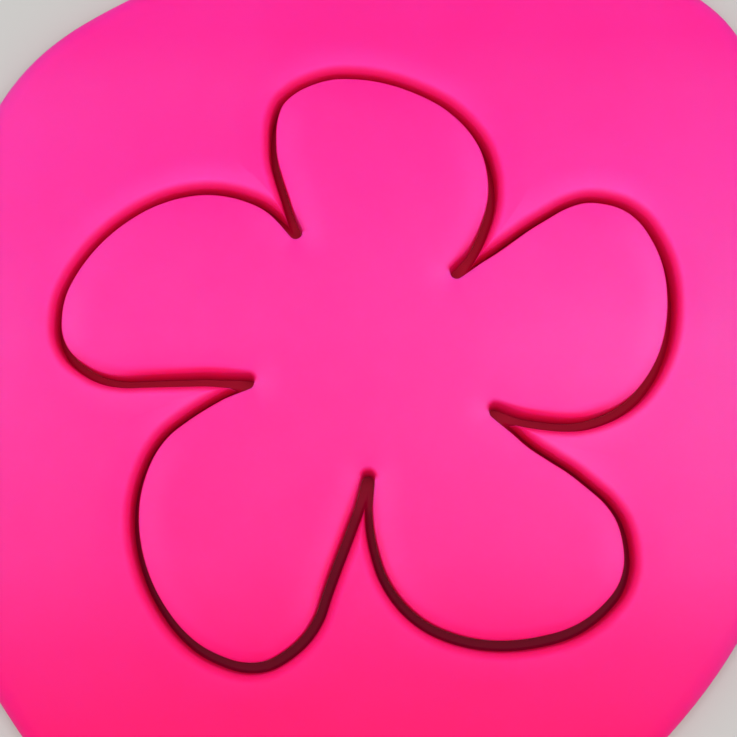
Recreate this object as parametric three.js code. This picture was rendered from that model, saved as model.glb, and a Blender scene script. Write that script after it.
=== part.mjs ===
import * as THREE from "three";

// A flower cookie cutter, set down beside the rolled dough that it has just cut.
// Millimetres, +Z up. The table is z = 0, and the origin is under the middle of the cut flower.

// The flower: its width from petal to petal, measured on the middle of the blade
const flowerWidth = 88.9;

// The dough
const doughThickness = 6.4;
const sheetLip = 1.2;
const flowerLip = 0.3;
const rimBulge = 3;

// The cutter
const cutterHeight = 16;
const bladeEdge = 1;
const bladeWall = 1.8;
const bladeTaper = 8;
const flangeThickness = 2.8;
const flangeReach = 4.2;
const flangeCorner = 0.6;
const filletSize = 1.4;

// Fits: the dough's spring back from the blade, how far the loose flower has slid in its hole, how far
// each of its soft petals has spread at the tip, and the room between the cutter and the sheet
const cutClearance = 0.05;
const flowerSlide = [-0.14, 0.36];
const petalSpread = [0.25, 0.2, 0, 0, 0.15];
const setDownGap = 0.4;

// How finely curves are stepped
const petalSteps = 26;
const cuspSteps = 6;
const lipSteps = 4;
const rimSteps = 6;
const rimPoints = 84;
const filletSteps = 3;

// The outlines below are drawn to a scale at which the flower is this wide
const drawingWidth = 100;
const outlineUnit = flowerWidth / drawingWidth;

// Where neighbouring petals meet, from the top petal's right side and round to the left
const cusps = [
  [14.6, 15.6],
  [-11.8, 22.2],
  [-19.5, -2.6],
  [0.1, -18.4],
  [20.8, -7.4],
];

// The points that each petal passes between its two cusps
const petals = [
  [
    [18, 20.7], [20.4, 28.4], [19, 36.5], [14, 42.7], [7.1, 46.5],
    [-0.2, 48.4], [-7.8, 48.1], [-14.4, 44], [-15.6, 36], [-13.6, 28.3],
  ],
  [
    [-17.5, 27], [-25.4, 29.1], [-33.4, 27.8], [-40.5, 23.9], [-46.3, 18.1],
    [-50, 10.8], [-49.4, 3.1], [-42.7, -1.7], [-33.5, -2], [-25.4, -1.9],
  ],
  [
    [-26.4, -6.3], [-33.7, -12.1], [-37.2, -20.7], [-36.8, -30], [-33.1, -38.8],
    [-26.6, -45.6], [-17.4, -48.2], [-9.4, -42.9], [-5.8, -34.2], [-2.6, -25.8],
  ],
  [
    [0.4, -26.6], [3, -35], [8.8, -41.3], [17.3, -44.4], [26.5, -44.3],
    [35.2, -41.3], [41.4, -34.1], [40.5, -24.4], [33.8, -17.6], [26.5, -12.7],
  ],
  [
    [26.9, -8.8], [35.1, -9], [43, -5.3], [47.9, 1.9], [49.5, 10.5],
    [48.2, 18.8], [43.4, 25.8], [35.4, 27.7], [27.6, 24], [20.8, 19.3],
  ],
];

// The rolled sheet's uneven rim, from its right side and round to the left
const sheetRim = [
  [74, 6], [71, 32], [62.1, 56.4], [55, 63.6], [36, 73], [5, 76], [-22, 71], [-39.1, 63.6],
  [-53.4, 54.7], [-61.6, 44.8], [-70, 24], [-73, -3], [-69, -32], [-58.8, -53.7], [-42, -72],
  [-14, -79], [16, -77], [36, -69], [47.8, -58.8], [59.1, -44.3], [70, -22],
];

// A drawn point at its real size
function drawn([x, y]) {
  return new THREE.Vector2(x, y).multiplyScalar(outlineUnit);
}

const petalCurves = petals.map((points, i) => {
  const ends = [cusps[i], cusps[(i + 1) % cusps.length]];
  return new THREE.SplineCurve([ends[0], ...points, ends[1]].map(drawn));
});

// A curve's outward normal, on a path that runs anticlockwise
function outward(curve, share) {
  const along = curve.getTangentAt(share);
  return new THREE.Vector2(along.y, -along.x);
}

// A petal's own path, moved outwards by a distance and, most at its tip, by a spread
function movedPetal(curve, distance, spread = 0) {
  const path = [];
  for (let step = 0; step <= petalSteps; step++) {
    const share = step / petalSteps;
    const move = distance + spread * Math.sin(Math.PI * share);
    path.push(curve.getPointAt(share).addScaledVector(outward(curve, share), move));
  }
  return path;
}

// Where the end of one path crosses the start of the next
function crossing(path, next) {
  for (let i = path.length - 2; i >= 0; i--) {
    for (let j = 0; j < next.length - 1; j++) {
      const along = path[i + 1].clone().sub(path[i]);
      const across = next[j + 1].clone().sub(next[j]);
      const between = next[j].clone().sub(path[i]);
      const turn = along.cross(across);
      const share = between.cross(across) / turn;
      const nextShare = between.cross(along) / turn;
      const meets = share >= 0 && share <= 1 && nextShare >= 0 && nextShare <= 1;
      if (meets) return { last: i, first: j + 1, point: path[i].clone().addScaledVector(along, share) };
    }
  }
  throw new Error("neighbouring petals no longer meet");
}

// The flower's outline outside the middle of the blade: petals cut short where they cross
function outerOutline(distance) {
  const paths = petalCurves.map((curve) => movedPetal(curve, distance));
  const meets = paths.map((path, i) => crossing(path, paths[(i + 1) % paths.length]));
  return paths.flatMap((path, i) => {
    const before = meets[(i + meets.length - 1) % meets.length];
    const after = meets[i];
    const kept = [before.point, ...path.slice(before.first, after.last + 1), after.point];
    return new THREE.Path().setFromPoints(kept).getSpacedPoints(petalSteps).slice(0, -1);
  });
}

// The flower's outline inside the middle of the blade: petals joined by an arc about each cusp
function innerOutline(distance, spreads = []) {
  return petalCurves.flatMap((curve, i) => {
    const next = petalCurves[(i + 1) % petalCurves.length];
    const from = outward(curve, 1).multiplyScalar(-distance);
    const to = outward(next, 0).multiplyScalar(-distance);
    const turn = Math.atan2(from.cross(to), from.dot(to));
    const path = movedPetal(curve, -distance, spreads[i]);
    for (let step = 1; step < cuspSteps; step++) {
      const spoke = from.clone().rotateAround(new THREE.Vector2(), (turn * step) / cuspSteps);
      path.push(curve.getPointAt(1).add(spoke));
    }
    return path;
  });
}

// The cut flower's own outline, with its petals spread
function flowerOutline(distance) {
  return innerOutline(distance, petalSpread);
}

const rimCurve = new THREE.CatmullRomCurve3(
  sheetRim.map((point) => new THREE.Vector3(...drawn(point).toArray(), 0)),
  true,
);

// The sheet's outline, drawn in from its widest line
function rimOutline(inset) {
  const loop = [];
  for (let step = 0; step < rimPoints; step++) {
    const share = step / rimPoints;
    const { x, y } = rimCurve.getPointAt(share);
    loop.push(new THREE.Vector2(x, y).addScaledVector(outward(rimCurve, share), -inset));
  }
  return loop;
}

// A closed solid between stacked outlines, each level being { z, loop } from the lowest up.
// With inner levels it is a ring around the space that they enclose.
function lofted(outer, inner = []) {
  const positions = [];
  const triangles = [];

  function addLoop({ z, loop }) {
    const ids = loop.map((point, i) => positions.length / 3 + i);
    loop.forEach((point) => positions.push(point.x, point.y, z));
    return { loop, ids };
  }

  function addWall(low, high, facesOut) {
    low.ids.forEach((a, i) => {
      const k = (i + 1) % low.ids.length;
      const [b, c, d] = [low.ids[k], high.ids[k], high.ids[i]];
      triangles.push(...(facesOut ? [a, b, c, a, c, d] : [a, c, b, a, d, c]));
    });
  }

  function addCap(rim, hole, facesUp) {
    const points = [...rim.loop, ...(hole ? hole.loop : [])];
    const ids = [...rim.ids, ...(hole ? hole.ids : [])];
    const faces = THREE.ShapeUtils.triangulateShape(rim.loop, hole ? [hole.loop] : []);
    faces.forEach(([i, j, k]) => {
      const side = points[j].clone().sub(points[i]);
      const anticlockwise = side.cross(points[k].clone().sub(points[i])) > 0;
      const order = anticlockwise === facesUp ? [i, j, k] : [i, k, j];
      triangles.push(...order.map((corner) => ids[corner]));
    });
  }

  const outerLoops = outer.map(addLoop);
  const innerLoops = inner.map(addLoop);
  outerLoops.slice(1).forEach((high, i) => addWall(outerLoops[i], high, true));
  innerLoops.slice(1).forEach((high, i) => addWall(innerLoops[i], high, false));
  addCap(outerLoops[0], innerLoops[0], false);
  addCap(outerLoops.at(-1), innerLoops.at(-1), true);

  const geometry = new THREE.BufferGeometry();
  geometry.setAttribute("position", new THREE.Float32BufferAttribute(positions, 3));
  geometry.setIndex(triangles);
  geometry.computeVertexNormals();
  return geometry;
}

// Half of the blade's thickness at a height above its edge
function bladeHalf(z) {
  const share = Math.min(z / bladeTaper, 1);
  return THREE.MathUtils.lerp(bladeEdge, bladeWall, share) / 2;
}

// Half of the kerf that the blade leaves in the dough
function kerfHalf(z) {
  return bladeHalf(z) + cutClearance;
}

// The cut face of the dough from the table up, with its lip rounded over away from the kerf
function cutLevels(outline, lip) {
  const lipStart = doughThickness - lip;
  const levels = [{ z: 0, loop: outline(kerfHalf(0)) }];
  for (let step = 0; step <= lipSteps; step++) {
    const angle = (Math.PI / 2) * (step / lipSteps);
    const distance = kerfHalf(lipStart) + lip * (1 - Math.cos(angle));
    levels.push({ z: lipStart + lip * Math.sin(angle), loop: outline(distance) });
  }
  return levels;
}

// The sheet's rim from the table up: a half ellipse that is widest at half the thickness
function rimLevels() {
  const levels = [];
  for (let step = 0; step <= rimSteps; step++) {
    const angle = Math.PI * (step / rimSteps);
    const z = (doughThickness / 2) * (1 - Math.cos(angle));
    levels.push({ z, loop: rimOutline(rimBulge * (1 - Math.sin(angle))) });
  }
  return levels;
}

// The cutter's outer side from the edge up: tapered blade, fillet, then the flange that the palm presses
function cutterOuterLevels() {
  const wall = bladeWall / 2;
  const flangeBottom = cutterHeight - flangeThickness;
  const flangeEdge = wall + flangeReach;
  const sections = [
    [0, bladeEdge / 2],
    [bladeTaper, wall],
  ];
  for (let step = 0; step <= filletSteps; step++) {
    const angle = (Math.PI / 2) * (step / filletSteps);
    const rise = filletSize * Math.sin(angle);
    sections.push([flangeBottom - filletSize + rise, wall + filletSize * (1 - Math.cos(angle))]);
  }
  sections.push([flangeBottom, flangeEdge - flangeCorner]);
  sections.push([flangeBottom + flangeCorner, flangeEdge]);
  sections.push([cutterHeight - flangeCorner, flangeEdge]);
  sections.push([cutterHeight, flangeEdge - flangeCorner]);
  return sections.map(([z, distance]) => ({ z, loop: outerOutline(distance) }));
}

// The cutter's inner side, which runs straight up to the top once the blade has tapered out
function cutterInnerLevels() {
  const heights = [0, bladeTaper, cutterHeight];
  return heights.map((z) => ({ z, loop: innerOutline(bladeHalf(z)) }));
}

// The farthest that an outline reaches along a direction
function reach(loop, direction) {
  return Math.max(...loop.map((point) => point.dot(direction)));
}

function doughMaterial() {
  return new THREE.MeshStandardMaterial({ color: 0xff3fa2, roughness: 0.6, metalness: 0 });
}

function printedPlastic() {
  return new THREE.MeshStandardMaterial({ color: 0xd41468, roughness: 0.45, metalness: 0 });
}

function named(name, geometry, material) {
  const mesh = new THREE.Mesh(geometry, material);
  mesh.name = name;
  return mesh;
}

const doughSheet = named("dough_sheet", lofted(rimLevels(), cutLevels(outerOutline, sheetLip)), doughMaterial());
const cutFlower = named("cut_flower", lofted(cutLevels(flowerOutline, flowerLip)), doughMaterial());
const flowerCutter = named("flower_cutter", lofted(cutterOuterLevels(), cutterInnerLevels()), printedPlastic());

// The cutter stands on its edge to the right of the sheet, its left petal beside the sheet's rim
const toTheRight = new THREE.Vector2(1, 0);
const toTheLeft = new THREE.Vector2(-1, 0);
const sheetReach = reach(rimOutline(0), toTheRight);
const bladeReach = reach(outerOutline(bladeWall / 2), toTheLeft);
flowerCutter.position.x = sheetReach + setDownGap + bladeReach;

// The flower lies loose in its hole
cutFlower.position.set(...flowerSlide, 0);

const cookieCutterSet = new THREE.Group();
cookieCutterSet.add(doughSheet, cutFlower, flowerCutter);

export default cookieCutterSet;
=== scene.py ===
import math

import bmesh
import bpy
import numpy as np
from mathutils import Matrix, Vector, geometry
from mathutils.kdtree import KDTree


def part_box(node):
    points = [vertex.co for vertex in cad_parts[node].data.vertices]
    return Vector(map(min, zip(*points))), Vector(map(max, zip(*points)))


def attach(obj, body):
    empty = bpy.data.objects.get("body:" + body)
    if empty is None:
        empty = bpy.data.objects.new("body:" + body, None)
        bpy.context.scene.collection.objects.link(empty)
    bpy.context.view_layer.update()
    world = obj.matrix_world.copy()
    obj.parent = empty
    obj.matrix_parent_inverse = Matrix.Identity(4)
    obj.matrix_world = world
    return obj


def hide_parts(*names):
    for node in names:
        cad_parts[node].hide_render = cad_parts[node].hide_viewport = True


# A flower cookie cutter, set down beside the pink dough that it has just cut.
# Blender's metres throughout; the dictionaries give sizes in millimetres times mm.

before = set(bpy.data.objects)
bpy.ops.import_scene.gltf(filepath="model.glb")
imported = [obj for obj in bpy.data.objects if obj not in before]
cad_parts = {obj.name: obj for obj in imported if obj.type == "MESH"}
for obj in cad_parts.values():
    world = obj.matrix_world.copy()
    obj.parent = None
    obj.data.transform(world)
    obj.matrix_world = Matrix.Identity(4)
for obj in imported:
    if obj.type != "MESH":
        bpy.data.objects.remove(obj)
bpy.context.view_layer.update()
mm = 0.001
print("frame loaded:", ", ".join(sorted(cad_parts)))


# Outlines, read off the CAD solids

outlineFinish = {
    "mergeDistance": 0.002 * mm,
    "splineSteps": 16,
    "pathSpacing": 0.2 * mm,  # how finely a petal's path is drawn
    "petalPoints": 130,  # points along each petal of a row
    "arcSteps": 24,  # steps round each cusp on the flower's side
    "rimPoints": 320,
    "gridClearance": 0.6,  # share of a grid's spacing that stays free along each outline
    "fillPrecision": 1e-6,
}


def levelLoops(nodeName, height):
    # closed outlines of a CAD solid at one height, the widest first, each anticlockwise
    near = outlineFinish["mergeDistance"]
    solid = bmesh.new()
    solid.from_mesh(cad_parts[nodeName].data)
    bmesh.ops.remove_doubles(solid, verts=solid.verts, dist=near)
    level = {vert for vert in solid.verts if abs(vert.co.z - height) < near}
    flat = {face for face in solid.faces if level.issuperset(face.verts)}
    partners = {}
    for edge in solid.edges:
        if level.issuperset(edge.verts) and not flat.issuperset(edge.link_faces):
            for vert in edge.verts:
                partners.setdefault(vert, []).append(edge.other_vert(vert))
    loops = []
    while partners:
        vert, before, path = next(iter(partners)), None, []
        while vert in partners:
            path.append(tuple(vert.co.xy))
            onward = [other for other in partners.pop(vert) if other != before]
            before, vert = vert, onward[0]
        loop = np.array(path)
        loops.append(loop if signedArea(loop) > 0 else loop[::-1])
    solid.free()
    return sorted(loops, key=signedArea, reverse=True)


def cross(a, b):
    return a[..., 0] * b[..., 1] - a[..., 1] * b[..., 0]


def signedArea(loop):
    return cross(loop, np.roll(loop, -1, axis=0)).sum() / 2


def areaMiddle(loop):
    onward = np.roll(loop, -1, axis=0)
    return ((loop + onward) * cross(loop, onward)[:, None]).sum(axis=0) / (6 * signedArea(loop))


def pathLength(path):
    return np.linalg.norm(np.diff(path, axis=0), axis=1).sum()


def evenPoints(path, steps):
    walked = np.concatenate([[0], np.cumsum(np.linalg.norm(np.diff(path, axis=0), axis=1))])
    stops = np.linspace(0, walked[-1], steps + 1)
    return np.column_stack([np.interp(stops, walked, path[:, axis]) for axis in (0, 1)])


def splinePoints(p0, p1, p2, p3):
    # a Catmull-Rom curve from each p1 to its p2
    t = np.linspace(0, 1, outlineFinish["splineSteps"], endpoint=False)[:, None, None]
    linear = (p2 - p0) * t
    squared = (2 * p0 - 5 * p1 + 4 * p2 - p3) * t**2
    cubed = (3 * p1 - p0 - 3 * p2 + p3) * t**3
    return (p1 + (linear + squared + cubed) / 2).transpose(1, 0, 2).reshape(-1, 2)


def smoothPath(points, spacing):
    padded = np.vstack([2 * points[0] - points[1], points, 2 * points[-1] - points[-2]])
    curve = np.vstack([splinePoints(padded[:-3], padded[1:-2], padded[2:-1], padded[3:]), points[-1]])
    return evenPoints(curve, round(pathLength(curve) / spacing))


def smoothLoop(points, count):
    curve = splinePoints(*(np.roll(points, shift, axis=0) for shift in (1, 0, -1, -2)))
    return evenPoints(np.vstack([curve, curve[0]]), count)[:-1]


def outward(path):
    # unit normals to the right of a path, which is outside an anticlockwise outline
    along = np.gradient(path, axis=0, edge_order=2)
    along /= np.linalg.norm(along, axis=1, keepdims=True)
    return np.column_stack([along[:, 1], -along[:, 0]])


def arcCentre(a, b, c):
    # the middle of the circle through three points
    b, c = b - a, c - a
    across = np.array([c[1] * (b @ b) - b[1] * (c @ c), b[0] * (c @ c) - c[0] * (b @ b)])
    return a + across / (2 * cross(b, c))


def bladeLines(loop):
    # the petals of a flower's outline, each moved out to the middle of the blade, from cusp to cusp
    # the outline's short steps are the arcs about the cusps, whose radius is that distance
    steps = np.linalg.norm(np.roll(loop, -1, axis=0) - loop, axis=1)
    isLong = steps > np.median(steps) / 2
    first = next(i for i in range(len(loop)) if isLong[i] and not isLong[i - 1])
    loop, isLong = np.roll(loop, -first, axis=0), np.roll(isLong, -first)
    starts = [i for i in range(len(loop)) if isLong[i] and not isLong[i - 1]] + [len(loop)]
    ends = [i for i in range(len(loop)) if not isLong[i] and isLong[i - 1]]
    loop = np.vstack([loop, loop[0]])
    cusps = [arcCentre(loop[a], loop[(a + b) // 2], loop[b]) for a, b in zip(ends, starts[1:])]
    half = np.linalg.norm(loop[ends[0]] - cusps[0])
    petals = []
    for i, (start, end) in enumerate(zip(starts, ends)):
        petal = loop[start:end + 1]
        petal = petal + outward(petal) * half
        petal[0], petal[-1] = cusps[i - 1], cusps[i]
        petals.append(smoothPath(petal, outlineFinish["pathSpacing"]))
    return petals, half


def crossing(path, onward):
    # where the end of one path crosses the start of the next
    along, across = np.diff(path, axis=0)[:, None], np.diff(onward, axis=0)[None]
    between = onward[None, :-1] - path[:-1, None]
    with np.errstate(divide="ignore", invalid="ignore"):
        share = cross(between, across) / cross(along, across)
        onwardShare = cross(between, along) / cross(along, across)
    meets = (share >= 0) & (share <= 1) & (onwardShare >= 0) & (onwardShare <= 1)
    i, j = np.argwhere(meets)[-1]
    return i, j + 1, path[i] + along[i, 0] * share[i, j]


def outerRing(petals, distance):
    # outline outside the blade's middle: petals cut short where they cross
    moved = [petal + outward(petal) * distance for petal in petals]
    meets = [crossing(path, moved[(i + 1) % len(moved)]) for i, path in enumerate(moved)]
    ring = []
    for i, path in enumerate(moved):
        start, end = meets[i - 1], meets[i]
        kept = np.vstack([start[2], path[start[1]:end[0] + 1], end[2]])
        ring.append(evenPoints(kept, outlineFinish["petalPoints"])[:-1])
    return np.vstack(ring)


def innerRing(petals, distance):
    # outline inside the blade's middle: petals joined by an arc about each cusp
    ring = []
    for i, petal in enumerate(petals):
        spoke, last = -outward(petal)[-1], -outward(petals[(i + 1) % len(petals)])[0]
        turn = math.atan2(cross(spoke, last), spoke @ last)
        angles = np.linspace(0, turn, outlineFinish["arcSteps"] + 1)[1:-1]
        turned = np.column_stack([
            spoke[0] * np.cos(angles) - spoke[1] * np.sin(angles),
            spoke[0] * np.sin(angles) + spoke[1] * np.cos(angles),
        ])
        ring.append(evenPoints(petal - outward(petal) * distance, outlineFinish["petalPoints"]))
        ring.append(petal[-1] + turned * distance)
    return np.vstack(ring)


# Skins: points and faces that become a piece

def newSkin():
    return {"points": [], "faces": []}


def addRow(skin, outline, height):
    # one height for the row, or one for each of its points
    first = len(skin["points"])
    heights = np.broadcast_to(height, len(outline))
    skin["points"] += [(x, y, z) for (x, y), z in zip(outline, heights)]
    return range(first, len(skin["points"]))


def addRows(skin, rows):
    # rows of equal length, each (outline, height), joined in turn; gives back the first and the last
    made = [addRow(skin, outline, height) for outline, height in rows]
    for row, onward in zip(made, made[1:]):
        skin["faces"] += [(row[i - 1], row[i], onward[i], onward[i - 1]) for i in range(len(row))]
    return made[0], made[-1]


def ringRows(makeRing, petals, profile):
    # a profile's (distance, height) points as rows round the petals
    return [(makeRing(petals, distance), height) for distance, height in profile]


def isInside(points, outline):
    x, y = points[:, :1], points[:, 1:]
    ax, ay = outline.T
    bx, by = np.roll(outline, -1, axis=0).T
    with np.errstate(divide="ignore", invalid="ignore"):
        hits = ((ay > y) != (by > y)) & (x < (bx - ax) * (y - ay) / (by - ay) + ax)
    return hits.sum(axis=1) % 2 == 1


def meshPoints(outlines, spacing):
    # a triangular grid inside the first outline and outside the others, clear of them all
    low, high = outlines[0].min(axis=0), outlines[0].max(axis=0)
    columns = np.arange(low[0], high[0], spacing)
    rows = np.arange(low[1], high[1], spacing * math.sqrt(3) / 2)
    grid = np.array([(x + (i % 2) * spacing / 2, y) for i, y in enumerate(rows) for x in columns])
    kept = isInside(grid, outlines[0])
    for hole in outlines[1:]:
        kept &= ~isInside(grid, hole)
    fence = np.vstack(outlines)
    tree = KDTree(len(fence))
    for i, (x, y) in enumerate(fence):
        tree.insert((x, y, 0), i)
    tree.balance()
    clear = spacing * outlineFinish["gridClearance"]
    return [(x, y) for x, y in grid[kept] if tree.find((x, y, 0))[2] > clear]


def fillFace(skin, rows, spacing=None):
    # triangles between a row and the rows of its holes, over a grid where a spacing is given
    outlines = [np.array([skin["points"][i][:2] for i in row]) for row in rows]
    height = skin["points"][rows[0][0]][2]
    ids = [i for row in rows for i in row]
    edges, first = [], 0
    for row in rows:
        edges += [(first + i, first + (i + 1) % len(row)) for i in range(len(row))]
        first += len(row)
    inner = meshPoints(outlines, spacing) if spacing else []
    ids += addRow(skin, inner, height)
    flat = [Vector(skin["points"][i][:2]) / mm for i in ids]
    insideOnly = 1  # delaunay_2d_cdt's own number for leaving out what lies beyond the outer edge
    filled = geometry.delaunay_2d_cdt(flat, edges, [], insideOnly, outlineFinish["fillPrecision"])
    points, _, faces, origins, _, _ = filled
    middles = np.array([np.mean([points[i] for i in face], axis=0) for face in faces]) * mm
    kept = np.ones(len(faces), bool)
    for hole in outlines[1:]:
        kept &= ~isInside(middles, hole)
    skin["faces"] += [[ids[origins[i][0]] for i in face] for face, keep in zip(faces, kept) if keep]


def newPiece(name, skin):
    mesh = bpy.data.meshes.new(name)
    mesh.from_pydata(skin["points"], [], skin["faces"])
    shape = bmesh.new()
    shape.from_mesh(mesh)
    bmesh.ops.recalc_face_normals(shape, faces=shape.faces)
    shape.to_mesh(mesh)
    shape.free()
    mesh.shade_smooth()
    print(name, "starts with", len(mesh.polygons), "faces")
    piece = bpy.data.objects.new(name, mesh)
    bpy.context.scene.collection.objects.link(piece)
    return piece


def newLine(name, outline):
    # a bare closed line, for the relief to measure from
    count = len(outline)
    mesh = bpy.data.meshes.new(name)
    mesh.from_pydata([(x, y, 0) for x, y in outline], [(i, (i + 1) % count) for i in range(count)], [])
    line = bpy.data.objects.new(name, mesh)
    bpy.context.scene.collection.objects.link(line)
    return line


# Nodes

noiseMiddle = 0.5  # of Blender's noise, which runs from 0 to 1


def addNode(tree, kind, inputs=None, **settings):
    node = tree.nodes.new(kind)
    for name, value in settings.items():
        setattr(node, name, value)
    for socket, value in (inputs or {}).items():
        if isinstance(value, bpy.types.NodeSocket):
            tree.links.new(value, node.inputs[socket])
        else:
            node.inputs[socket].default_value = value
    return node


def calculate(tree, operation, a, b):
    return addNode(tree, "ShaderNodeMath", {0: a, 1: b}, operation=operation).outputs[0]


def calculateVector(tree, operation, *vectors):
    return addNode(tree, "ShaderNodeVectorMath", dict(enumerate(vectors)), operation=operation).outputs[0]


def mixColours(tree, share, first, second, **settings):
    # the Mix node has its factor at 0 and its colours at 6 and 7
    inputs = {0: share, 6: first, 7: second}
    return addNode(tree, "ShaderNodeMix", inputs, data_type="RGBA", **settings).outputs[2]


def readAttribute(tree, name):
    return addNode(tree, "ShaderNodeAttribute", attribute_name=name).outputs["Fac"]


def ramp(tree, value, start, end, low, high, kind="SMOOTHSTEP"):
    inputs = {"Value": value, "From Min": start, "From Max": end, "To Min": low, "To Max": high}
    return addNode(tree, "ShaderNodeMapRange", inputs, interpolation_type=kind).outputs[0]


# The relief that cutting and rolling leave on the dough, with the masks for its colour: painted shade in
# the cut, painted light and shade on the flower's ring

reliefSizes = (
    "Thickness", "Kerf half",
    "Swell height", "Swell size", "Swell seed", "Swell detail",
    "Ridge height", "Ridge crest", "Ridge width",
    "Shoulder drop", "Shoulder width",
    "Rim drop", "Rim width",
    "Front drop", "Front share", "Front reach",
    "Fresh from", "Fresh to",
    "Soft share", "Soft from", "Soft to",
    "Deep share", "Deep from",
    "Film share", "Film from", "Film to",
    "Side ring share", "End ring share", "Front ring share",
    "Pale rim share", "Pale rim reach",
)


def doughReliefTree():
    tree = bpy.data.node_groups.new("doughRelief", "GeometryNodeTree")
    tree.interface.new_socket("Dough", in_out="OUTPUT", socket_type="NodeSocketGeometry")
    tree.interface.new_socket("Dough", in_out="INPUT", socket_type="NodeSocketGeometry")
    for name in ("Cut line", "Rim line"):
        tree.interface.new_socket(name, in_out="INPUT", socket_type="NodeSocketObject")
    for name in reliefSizes:
        tree.interface.new_socket(name, in_out="INPUT", socket_type="NodeSocketFloat")
    tree.interface.new_socket("Finish", in_out="INPUT", socket_type="NodeSocketMaterial")
    given = addNode(tree, "NodeGroupInput").outputs
    position = addNode(tree, "GeometryNodeInputPosition").outputs[0]
    withoutHeight = (1, 1, 0)
    flat = calculateVector(tree, "MULTIPLY", position, withoutHeight)

    def nearest(line):
        there = addNode(tree, "GeometryNodeObjectInfo", {"Object": given[line]}).outputs["Geometry"]
        inputs = {0: there, "Sample Position": flat}
        return addNode(tree, "GeometryNodeProximity", inputs, target_element="EDGES").outputs

    def fall(distance, width, drop):
        # a drop that eases off with the square of the way across
        left = ramp(tree, distance, 0.0, given[width], 1.0, 0.0, "LINEAR")
        return calculate(tree, "MULTIPLY", calculate(tree, "MULTIPLY", left, left), given[drop])

    cut = nearest("Cut line")
    fromRim = nearest("Rim line")["Distance"]
    fromCut = calculate(tree, "SUBTRACT", cut["Distance"], given["Kerf half"])
    toCut = calculateVector(tree, "SUBTRACT", cut["Position"], flat)
    facing = calculateVector(tree, "NORMALIZE", toCut)
    way = addNode(tree, "ShaderNodeSeparateXYZ", {0: facing}).outputs
    sideways = calculate(tree, "MULTIPLY", way["X"], way["X"])
    endways = calculate(tree, "MULTIPLY", way["Y"], way["Y"])
    toFront = calculate(tree, "MULTIPLY", endways, calculate(tree, "LESS_THAN", way["Y"], 0.0))

    rise = ramp(tree, fromCut, 0.0, given["Ridge crest"], 0.0, given["Ridge height"])
    settle = ramp(tree, fromCut, given["Ridge crest"], given["Ridge width"], 1.0, 0.0)
    ridge = calculate(tree, "MULTIPLY", rise, settle)
    shoulder = fall(fromCut, "Shoulder width", "Shoulder drop")
    frontFall = calculate(tree, "MULTIPLY", fall(fromCut, "Front reach", "Front drop"), toFront)
    rim = fall(fromRim, "Rim width", "Rim drop")
    swellInputs = {
        "Vector": position,
        "W": given["Swell seed"],
        "Scale": calculate(tree, "DIVIDE", 1.0, given["Swell size"]),
        "Detail": given["Swell detail"],
    }
    swellNoise = addNode(tree, "ShaderNodeTexNoise", swellInputs, noise_dimensions="4D").outputs[0]
    swellShare = calculate(tree, "SUBTRACT", swellNoise, noiseMiddle)
    swell = calculate(tree, "MULTIPLY", swellShare, given["Swell height"])
    lift = calculate(tree, "ADD", ridge, swell)
    for drop in (shoulder, frontFall, rim):
        lift = calculate(tree, "SUBTRACT", lift, drop)
    height = addNode(tree, "ShaderNodeSeparateXYZ", {0: position}).outputs["Z"]
    share = calculate(tree, "DIVIDE", height, given["Thickness"])
    lifted = calculate(tree, "MULTIPLY", lift, share)  # the underside stays on the table
    offset = addNode(tree, "ShaderNodeCombineXYZ", {"Z": lifted}).outputs[0]
    shaped = addNode(tree, "GeometryNodeSetPosition", {"Geometry": given[0], "Offset": offset}).outputs[0]

    # freshCut: painted shade, how far the skin gives way to a deeper red on the cut's lips and walls and
    # on edges that face the front
    lipShadeBand = ramp(tree, fromCut, given["Fresh from"], given["Fresh to"], 0.0, 1.0)
    frontShade = ramp(tree, fromCut, given["Front reach"], 0.0, 0.0, given["Front share"])
    lipShade = calculate(tree, "MAXIMUM", lipShadeBand, calculate(tree, "MULTIPLY", toFront, frontShade))
    softInputs = {"Name": "softEdge"}
    softEdge = addNode(tree, "GeometryNodeInputNamedAttribute", softInputs, data_type="FLOAT").outputs[0]
    softMost = calculate(tree, "MULTIPLY", softEdge, given["Soft share"])
    softShadeBand = ramp(tree, fromCut, given["Soft from"], given["Soft to"], 0.0, softMost)
    lipShade = calculate(tree, "MAXIMUM", lipShade, softShadeBand)

    # paleSkin: how far the skin is paler or darker in a ring beside the cut, and paler towards the rim;
    # on the flower the ring is painted light and shade by the way its edge faces
    sideTone = calculate(tree, "MULTIPLY", sideways, given["Side ring share"])
    behind = ramp(tree, way["Y"], 0.0, -1.0, given["Front ring share"], 1.0)
    endTone = calculate(tree, "MULTIPLY", endways, behind)
    endTone = calculate(tree, "MULTIPLY", endTone, given["End ring share"])
    ring = ramp(tree, fromCut, given["Ridge width"], given["Ridge crest"], 0.0, 1.0)
    ringTone = calculate(tree, "MULTIPLY", ring, calculate(tree, "ADD", sideTone, endTone))
    paleRim = ramp(tree, fromRim, given["Pale rim reach"], 0.0, 0.0, given["Pale rim share"])
    paleToneAndLight = calculate(tree, "ADD", ringTone, paleRim)

    # deepCut: painted shade, the cut's wall darkened towards its foot and the film on its floor
    footShade = ramp(tree, height, given["Deep from"], 0.0, 0.0, given["Deep share"])
    film = ramp(tree, height, given["Film from"], given["Film to"], 0.0, given["Film share"])
    inCut = calculate(tree, "LESS_THAN", fromCut, given["Ridge crest"])
    cutShade = calculate(tree, "MULTIPLY", footShade, softEdge)
    cutShade = calculate(tree, "MAXIMUM", cutShade, calculate(tree, "MULTIPLY", film, inCut))

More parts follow.
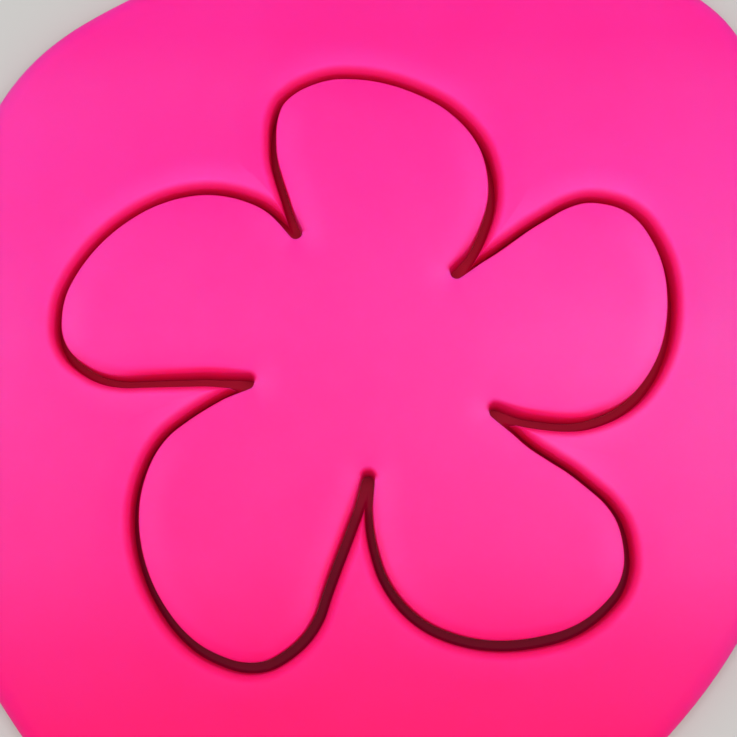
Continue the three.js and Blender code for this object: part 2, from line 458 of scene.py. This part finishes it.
    for name, value in (("freshCut", lipShade), ("deepCut", cutShade), ("paleSkin", paleToneAndLight)):
        storeInputs = {"Geometry": shaped, "Name": name, "Value": value}
        storeKind = {"data_type": "FLOAT", "domain": "POINT"}
        shaped = addNode(tree, "GeometryNodeStoreNamedAttribute", storeInputs, **storeKind).outputs[0]
    real = addNode(tree, "GeometryNodeRealizeInstances", {0: shaped}).outputs[0]
    finishInputs = {"Geometry": real, "Material": given["Finish"]}
    finished = addNode(tree, "GeometryNodeSetMaterial", finishInputs).outputs[0]
    addNode(tree, "NodeGroupOutput", {0: finished})
    return tree


def applyTree(piece, tree, values):
    # runs a node tree on a piece and keeps the result as a plain mesh
    names = {item.name: item.identifier for item in tree.interface.items_tree if item.in_out == "INPUT"}
    modifier = piece.modifiers.new(tree.name, "NODES")
    modifier.node_group = tree
    for name, value in values.items():
        modifier[names[name]] = value
    depsgraph = bpy.context.evaluated_depsgraph_get()
    made = bpy.data.meshes.new_from_object(piece.evaluated_get(depsgraph), depsgraph=depsgraph)
    piece.modifiers.remove(modifier)
    piece.data = made
    made.set_sharp_from_angle(angle=math.radians(cutShape["sharpAngle"]))
    print(piece.name, "has", sum(len(face.vertices) - 2 for face in made.polygons), "triangles")


# The dough's cut: tapered wall and rounded lip, over the film that the blade leaves on the table

cutShape = {
    "filmThickness": 0.15 * mm,
    "filmGap": 0.02 * mm,  # between the film and the flower's foot
    "filmRound": 0.5 * mm,
    "filmSteps": 6,
    "wallSteps": 6,
    "lipSteps": 10,
    "topSteps": 22,
    "spread": 1.13,  # each row beyond the lip is this much wider than the last
    "sharpAngle": 50.0,
}


def quarterTurn(centre, radius, start, end, steps):
    # (distance, height) points round part of a circle, the angles in degrees from straight out
    angles = np.radians(np.linspace(start, end, steps + 1))
    return [(centre[0] + radius * math.cos(a), centre[1] + radius * math.sin(a)) for a in angles]


def cutRows(foot, lean, lip, reach):
    # (distance from the middle of the blade, height) from the wall's foot up and out over the top
    lipStart = doughTop - lip
    heights = np.linspace(foot, lipStart, cutShape["wallSteps"] + 1)[:-1]
    rows = [(kerfHalf + lean * height, height) for height in heights]
    lipEnd = kerfHalf + lean * lipStart + lip
    rows += quarterTurn((lipEnd, lipStart), lip, 180, 90, cutShape["lipSteps"])
    walked = cutShape["spread"] ** np.arange(1, cutShape["topSteps"] + 1) - 1
    return rows + [(lipEnd + (reach - lipEnd) * share, doughTop) for share in walked / walked[-1]]


# the sheet and the flower are one rolled surface, cut by one blade
doughRelief = {
    "Swell height": 0.9 * mm,
    "Swell size": 26 * mm,
    "Swell seed": 3.0,
    "Swell detail": 1.0,
    "Ridge crest": 1.5 * mm,  # this and the next five run from the kerf's foot
    "Ridge width": 5.4 * mm,
    "Shoulder width": 6 * mm,
    "Front reach": 2 * mm,
    "Soft from": 1.5 * mm,
    "Soft to": 0.5 * mm,
    "Rim width": 9 * mm,  # these two run from the rim
    "Pale rim reach": 28 * mm,
    "Deep from": 4.6 * mm,  # and these up from the table
    "Film from": 1.4 * mm,
    "Film to": 0.16 * mm,
}

sheetShape = {
    "wallLean": 0.05,  # away from the kerf, per height
    "lip": 1.3 * mm,
    "rowReach": 7 * mm,  # how far the rows run from the middle of the blade
    "rimBulge": 3 * mm,
    "rimSteps": 18,
    "gridSpacing": 1.5 * mm,
    "relief": {
        "Ridge height": 0.3 * mm,
        "Rim drop": 0.45 * mm,
        "Fresh from": 1.5 * mm,  # from the kerf's foot: where the skin starts to give way to the painted shade of the cut's lip
        "Fresh to": 0.45 * mm,
        "Film share": 1.0,  # the film on the kerf's floor belongs to the sheet and is painted with the cut's shade
        "Side ring share": -0.1,  # how far the skin pales beside a cut that runs front to back
        "End ring share": 0.6,  # and behind one that runs left to right
        "Front ring share": 0.4,  # of that, in front of it
        "Pale rim share": 0.3,
    },
}

flowerShape = {
    "wallLean": 0.01,
    "lip": 0.25 * mm,
    "softLean": 0.09,  # where the blade has dragged the edge down: between the petals, facing the front
    "softLip": 0.7 * mm,
    "softReach": 28 * mm,  # how far from the cusps
    "tailWiden": 0.4 * mm,  # how much wider the cut is at the cusps, where two blades meet
    "tailReach": 4 * mm,
    "rowReach": 5 * mm,
    "gridSpacing": 1.5 * mm,
    "relief": {
        "Shoulder drop": 0.6 * mm,
        "Front drop": 0.7 * mm,  # how far an edge that faces the front rounds off
        "Front share": 0.5,  # and how far its skin deepens with painted shade
        "Fresh from": 0.25 * mm,
        "Fresh to": 0.1 * mm,
        "Soft share": 2.0,  # times how soft the edge is: how far its skin gives way to painted shade
        "Deep share": 0.65,  # and how far its wall is painted darker with shade towards its foot
        # the flower's ring: painted light on edges that face the sides, painted shade on edges that face
        # the front and back
        "Side ring share": 0.45,
        "End ring share": -0.12,
        "Front ring share": 1.0,
    },
}

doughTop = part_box("cut_flower")[1].z
rimBottom, holeOutline = levelLoops("dough_sheet", 0)
flowerPetals, kerfHalf = bladeLines(levelLoops("cut_flower", 0)[0])
bladePetals, edgeHalf = bladeLines(levelLoops("flower_cutter", 0)[1])
cutterShift = areaMiddle(outerRing(bladePetals, kerfHalf)) - areaMiddle(holeOutline)
holePetals = [petal - cutterShift for petal in bladePetals]  # where the blade stood in the dough
print("the cutter stands", cutterShift / mm, "mm from its cut")


def rimRows():
    # the sheet's rim from the top down to the table: a half ellipse about its widest line
    loop = smoothLoop(rimBottom, outlineFinish["rimPoints"])
    normals = outward(np.vstack([loop[-1], loop, loop[0]]))[1:-1]
    rows = []
    for angle in np.linspace(math.pi, 0, sheetShape["rimSteps"] + 1):
        bulge = sheetShape["rimBulge"] * math.sin(angle)
        height = doughTop / 2 * (1 - math.cos(angle))
        rows.append((loop + normals * bulge, height))
    return rows


def cuspShares(ring, reach):
    # how near each point of a ring is to a cusp
    cusps = np.array([petal[0] for petal in flowerPetals])
    fromCusp = np.linalg.norm(ring[:, None] - cusps, axis=2).min(axis=1)
    return np.clip(1 - fromCusp / reach, 0, 1)


def flowerRing(distance):
    # outline of the cut on the flower's side, with its wider tails
    ring = innerRing(flowerPetals, distance)
    wide = innerRing(flowerPetals, distance + flowerShape["tailWiden"])
    shares = cuspShares(innerRing(flowerPetals, kerfHalf), flowerShape["tailReach"])
    return ring + (wide - ring) * shares[:, None]


def softShares():
    # how soft the flower's edge is, round its outline
    foot, within = innerRing(flowerPetals, kerfHalf), innerRing(flowerPetals, 2 * kerfHalf)
    facing = np.clip((within - foot)[:, 1] / kerfHalf, 0, 1)
    return facing * cuspShares(foot, flowerShape["softReach"])


def giveRelief(piece, tree, finish, cutLine, rimLine, relief):
    lines = {"Cut line": cutLine, "Rim line": rimLine, "Thickness": doughTop, "Kerf half": kerfHalf}
    applyTree(piece, tree, {**lines, **doughRelief, **relief, "Finish": finish})


def rolledDough(tree, finish, cutLine, rimLine):
    film = cutShape["filmThickness"]
    radius = cutShape["filmRound"]
    lean = sheetShape["wallLean"]
    filmCentre = (kerfHalf + lean * (film + radius) - radius, film + radius)
    profile = quarterTurn(filmCentre, radius, -90, 0, cutShape["filmSteps"])[:-1]
    profile += cutRows(film + radius, lean, sheetShape["lip"], sheetShape["rowReach"])
    skin = newSkin()
    wallFoot, topRow = addRows(skin, ringRows(outerRing, holePetals, profile))
    filmEdge = flowerRing(kerfHalf - cutShape["filmGap"])
    filmFoot, filmTop = addRows(skin, [(filmEdge, 0), (filmEdge, film)])
    rimTop, rimFoot = addRows(skin, rimRows())
    fillFace(skin, [rimTop, topRow], sheetShape["gridSpacing"])
    fillFace(skin, [wallFoot, filmTop])
    fillFace(skin, [rimFoot, filmFoot])
    piece = newPiece("rolledDough", skin)
    giveRelief(piece, tree, finish, cutLine, rimLine, sheetShape["relief"])
    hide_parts("dough_sheet")
    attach(piece, "sheet")


def cutFlower(tree, finish, cutLine, rimLine):
    shape = flowerShape
    crisp = cutRows(0, shape["wallLean"], shape["lip"], shape["rowReach"])
    soft = cutRows(0, shape["softLean"], shape["softLip"], shape["rowReach"])
    shares = softShares()
    rows = []
    for (crispDistance, crispHeight), (softDistance, softHeight) in zip(crisp, soft):
        crispRing, softRing = flowerRing(crispDistance), flowerRing(softDistance)
        outline = crispRing + (softRing - crispRing) * shares[:, None]
        rows.append((outline, crispHeight + (softHeight - crispHeight) * shares))
    skin = newSkin()
    footRow, topRow = addRows(skin, rows)
    fillFace(skin, [topRow], shape["gridSpacing"])
    fillFace(skin, [footRow])
    piece = newPiece("cutFlower", skin)
    softEdge = np.zeros(len(skin["points"]))
    softEdge[:topRow.stop] = np.tile(shares, len(rows))  # the rows are the skin's first points
    piece.data.attributes.new("softEdge", "FLOAT", "POINT").data.foreach_set("value", softEdge)
    giveRelief(piece, tree, finish, cutLine, rimLine, shape["relief"])
    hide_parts("cut_flower")
    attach(piece, "flower")


doughColour = {
    # the skin's colour along Y, from the front to the back, deeper towards the front and a little towards
    # the back: painted shade where the light falls off
    "skin": [
        (-52 * mm, (1.0, 0.0055, 0.175, 1)),
        (-40 * mm, (1.0, 0.012, 0.23, 1)),
        (-27 * mm, (1.0, 0.029, 0.304, 1)),
        (5 * mm, (1.0, 0.0425, 0.372, 1)),
        (30 * mm, (1.0, 0.0285, 0.358, 1)),
        (42 * mm, (1.0, 0.0265, 0.342, 1)),
        (50 * mm, (1.0, 0.014, 0.305, 1)),
    ],
    # and that of the film pressed thin over the table, painted dark with the cut's shade and lighter
    # towards the back
    "film": [
        (-30 * mm, (0.21, 0.0008, 0.029, 1)),
        (0 * mm, (0.44, 0.001, 0.036, 1)),
    ],
    "toneReach": 60 * mm,
    # the deeper red painted on the cut's lips and walls and on edges facing the front: painted shade
    "freshCut": (1.0, 0.009, 0.165, 1),
    "palingAndLight": (1.0, 2.3, 1.3, 1),  # times the skin's colour, for the paler tone: the ring beside the cut, the rim and random mottle, with painted light and shade on the flower's ring and a painted sheen patch
    # a painted sheen, paler to the right of the middle
    "sheenPatch": {"middle": (48 * mm, -2 * mm, 6 * mm), "reach": 58 * mm, "share": 0.6},
    "mottleSize": 20 * mm,
    "mottleShare": 0.6,
    "mottleDetail": 6.0,
    "mottleRoughness": 0.65,
    "scatter": (1.5 * mm, 0.3 * mm, 0.6 * mm),  # how far red, green and blue light spread in it
    "roughness": 0.5,
    "specular": 0.08,
    "grainScale": 900.0,
    "grainDetail": 3.0,
    "grainStrength": 0.12,
    "grainHeight": 0.05 * mm,
}


def toneAlong(tree, along, tones, reach):
    # a colour that changes slowly from one place to the next
    share = ramp(tree, along, -reach, reach, 0.0, 1.0, "LINEAR")
    band = addNode(tree, "ShaderNodeValToRGB", {0: share})
    stops = band.color_ramp.elements
    while len(stops) < len(tones):
        stops.new(0.5)  # each stop gets its place below
    for stop, (place, colour) in zip(stops, tones):
        stop.position = (place + reach) / (2 * reach)
        stop.color = colour
    return band.outputs[0]


def doughFinish():
    look = doughColour
    material = bpy.data.materials.new("kneadedDough")
    material.use_nodes = True
    tree = material.node_tree
    shader = tree.nodes["Principled BSDF"]
    place = addNode(tree, "ShaderNodeTexCoord").outputs["Object"]
    alongY = addNode(tree, "ShaderNodeSeparateXYZ", {0: place}).outputs["Y"]
    # the skin's colour along Y, with painted shade towards the front and the back
    skin = toneAlong(tree, alongY, look["skin"], look["toneReach"])
    film = toneAlong(tree, alongY, look["film"], look["toneReach"])
    # painted sheen to the right of the middle
    patch = look["sheenPatch"]
    patchInputs = {0: place, 1: patch["middle"]}
    fromPatch = addNode(tree, "ShaderNodeVectorMath", patchInputs, operation="DISTANCE").outputs["Value"]
    patchShare = ramp(tree, fromPatch, 0.0, patch["reach"], patch["share"], 0.0)
    mottle = addNode(tree, "ShaderNodeTexNoise", {
        "Vector": place,
        "Scale": 1 / look["mottleSize"],
        "Detail": look["mottleDetail"],
        "Roughness": look["mottleRoughness"],
    }).outputs[0]
    mottleHalf = look["mottleShare"] / 2
    mottleShare = ramp(tree, mottle, 0.0, 1.0, -mottleHalf, mottleHalf, "LINEAR")
    paleToneAndLight = calculate(tree, "ADD", readAttribute(tree, "paleSkin"), patchShare)
    paleToneAndLight = calculate(tree, "ADD", paleToneAndLight, mottleShare)
    palingKind = {"blend_type": "MULTIPLY", "clamp_factor": False}
    colour = mixColours(tree, paleToneAndLight, skin, look["palingAndLight"], **palingKind)
    # painted shade on the cut's lips and walls
    colour = mixColours(tree, readAttribute(tree, "freshCut"), colour, look["freshCut"])
    cutShade = readAttribute(tree, "deepCut")
    # painted shade towards the cut's foot and on the film
    colour = mixColours(tree, cutShade, colour, film)
    tree.links.new(colour, shader.inputs["Base Color"])
    grainInputs = {"Vector": place, "Scale": look["grainScale"], "Detail": look["grainDetail"]}
    grain = addNode(tree, "ShaderNodeTexNoise", grainInputs).outputs[0]
    bumpInputs = {"Height": grain, "Strength": look["grainStrength"], "Distance": look["grainHeight"]}
    bump = addNode(tree, "ShaderNodeBump", bumpInputs)
    tree.links.new(bump.outputs[0], shader.inputs["Normal"])
    shader.inputs["Roughness"].default_value = look["roughness"]
    shader.inputs["Specular IOR Level"].default_value = look["specular"]
    glow = calculate(tree, "SUBTRACT", 1.0, cutShade)  # no subsurface glow where the cut is painted with shade: the pressed film and the wall's foot
    tree.links.new(glow, shader.inputs["Subsurface Weight"])
    shader.inputs["Subsurface Radius"].default_value = [r / mm for r in look["scatter"]]
    shader.inputs["Subsurface Scale"].default_value = mm
    return material


# The cutter: blade, fillet and press flange

cutterShape = {
    "edgeRound": 0.12 * mm,
    "edgeSteps": 4,
    "taperHeight": 8 * mm,
    "flangeThickness": 2.8 * mm,
    "flangeReach": 4.2 * mm,
    "flangeRound": 0.6 * mm,
    "innerRound": 0.4 * mm,
    "fillet": 1.4 * mm,
    "roundSteps": 6,
    "sharpAngle": 35.0,
}


def printedCutter(finish):
    shape = cutterShape
    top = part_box("flower_cutter")[1].z
    wallHalf = bladeLines(levelLoops("flower_cutter", top)[1])[1]
    edgeRound = shape["edgeRound"]
    corner = shape["flangeRound"]
    lip = shape["innerRound"]
    fillet = shape["fillet"]
    steps = shape["roundSteps"]
    flangeBottom = top - shape["flangeThickness"]
    flangeEdge = wallHalf + shape["flangeReach"]

    edgeTurn = quarterTurn((edgeHalf - edgeRound, edgeRound), edgeRound, -90, 0, shape["edgeSteps"])
    outside = edgeTurn + [(wallHalf, shape["taperHeight"])]
    outside += quarterTurn((wallHalf + fillet, flangeBottom - fillet), fillet, 180, 90, steps)
    outside += quarterTurn((flangeEdge - corner, flangeBottom + corner), corner, -90, 0, steps)
    outside += quarterTurn((flangeEdge - corner, top - corner), corner, 0, 90, steps)
    inside = edgeTurn + [(wallHalf, shape["taperHeight"])]
    inside += quarterTurn((wallHalf - lip, top - lip), lip, 0, 90, steps)

    skin = newSkin()
    outerFoot, outerTop = addRows(skin, ringRows(outerRing, bladePetals, outside))
    innerFoot, innerTop = addRows(skin, ringRows(innerRing, bladePetals, inside))
    fillFace(skin, [outerFoot, innerFoot])
    fillFace(skin, [outerTop, innerTop])
    piece = newPiece("printedCutter", skin)
    piece.data.materials.append(finish)
    piece.data.set_sharp_from_angle(angle=math.radians(shape["sharpAngle"]))
    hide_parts("flower_cutter")
    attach(piece, "cutter")


plasticColour = {
    "raspberry": (0.62, 0.012, 0.13, 1),
    "roughness": 0.38,
    "layer": 0.25 * mm,  # from one printed layer to the next
    "layerStrength": 0.4,
    "layerHeight": 0.05 * mm,
    "waveRate": 20,  # Blender's wave turns by this angle per unit of its scale
}


def plasticFinish():
    look = plasticColour
    material = bpy.data.materials.new("printedPlastic")
    material.use_nodes = True
    tree = material.node_tree
    shader = tree.nodes["Principled BSDF"]
    place = addNode(tree, "ShaderNodeTexCoord").outputs["Object"]
    waveInputs = {"Vector": place, "Scale": math.tau / look["waveRate"] / look["layer"]}
    wave = addNode(tree, "ShaderNodeTexWave", waveInputs, bands_direction="Z").outputs[0]
    bumpInputs = {"Height": wave, "Strength": look["layerStrength"], "Distance": look["layerHeight"]}
    bump = addNode(tree, "ShaderNodeBump", bumpInputs)
    tree.links.new(bump.outputs[0], shader.inputs["Normal"])
    shader.inputs["Base Color"].default_value = look["raspberry"]
    shader.inputs["Roughness"].default_value = look["roughness"]
    return material


# Floor, light and camera

studio = {
    "floorColour": (0.54, 0.54, 0.52, 1),
    "floorRoughness": 0.7,
    "floorSize": 3.0,
    "floorDrop": 0.05 * mm,
    "keyPlace": (0.02, -0.02, 0.62),
    "keySize": 0.5,
    "keyLevel": 0.57,  # share of a colour's written level that the key lamp gives
    "fillColour": (1, 1, 1, 1),
    "fillLevel": 0.65,
}


def paleFloor():
    half = studio["floorSize"] / 2
    mesh = bpy.data.meshes.new("paleFloor")
    corners = [(-half, -half), (half, -half), (half, half), (-half, half)]
    mesh.from_pydata([(x, y, -studio["floorDrop"]) for x, y in corners], [], [(0, 1, 2, 3)])
    floor = bpy.data.objects.new("paleFloor", mesh)
    bpy.context.scene.collection.objects.link(floor)
    material = bpy.data.materials.new("paleFloor")
    material.use_nodes = True
    shader = material.node_tree.nodes["Principled BSDF"]
    shader.inputs["Base Color"].default_value = studio["floorColour"]
    shader.inputs["Roughness"].default_value = studio["floorRoughness"]
    mesh.materials.append(material)


def softLight():
    place = Vector(studio["keyPlace"])
    lamp = bpy.data.lights.new("softKey", "AREA")
    lamp.size = studio["keySize"]
    lean = place.z / place.length
    lamp.energy = studio["keyLevel"] * math.pi**2 * place.length_squared / lean
    key = bpy.data.objects.new("softKey", lamp)
    key.location = place
    key.rotation_euler = (-place).to_track_quat("-Z", "Y").to_euler()
    bpy.context.scene.collection.objects.link(key)
    world = bpy.data.worlds.new("softFill")
    world.use_nodes = True
    sky = world.node_tree.nodes["Background"]
    sky.inputs["Color"].default_value = studio["fillColour"]
    sky.inputs["Strength"].default_value = studio["fillLevel"]
    bpy.context.scene.world = world


photoView = {
    "elevation": 82.0,
    "distance": 280 * mm,
    "pixelSize": 0.144 * mm,  # on the dough's top
    "imageWidth": 737,
    "sensor": 36.0,
    "clipStart": 10 * mm,
}


def photoCamera():
    tilt = math.radians(photoView["elevation"])
    back = Vector((0, -math.cos(tilt), math.sin(tilt)))
    camera = bpy.data.objects.new("photoCamera", bpy.data.cameras.new("photoCamera"))
    camera.data.sensor_width = photoView["sensor"]
    seen = photoView["pixelSize"] * photoView["imageWidth"]
    camera.data.lens = photoView["distance"] / seen * photoView["sensor"]
    camera.data.clip_start = photoView["clipStart"]
    camera.location = Vector((0, 0, doughTop)) + back * photoView["distance"]
    camera.rotation_euler = (-back).to_track_quat("-Z", "Y").to_euler()
    bpy.context.scene.collection.objects.link(camera)
    bpy.context.scene.camera = camera


reliefTree = doughReliefTree()
pinkDough = doughFinish()
holeLine = newLine("holeLine", np.vstack([petal[:-1] for petal in holePetals]))
flowerLine = newLine("flowerLine", np.vstack([petal[:-1] for petal in flowerPetals]))
rimLine = newLine("rimLine", rimRows()[sheetShape["rimSteps"] // 2][0])
rolledDough(reliefTree, pinkDough, holeLine, rimLine)
cutFlower(reliefTree, pinkDough, flowerLine, rimLine)
for line in (holeLine, flowerLine, rimLine):
    bpy.data.objects.remove(line)
printedCutter(plasticFinish())
paleFloor()
softLight()
photoCamera()
bpy.context.scene.view_settings.view_transform = "Standard"
print("dough, cutter, floor, light and camera made")
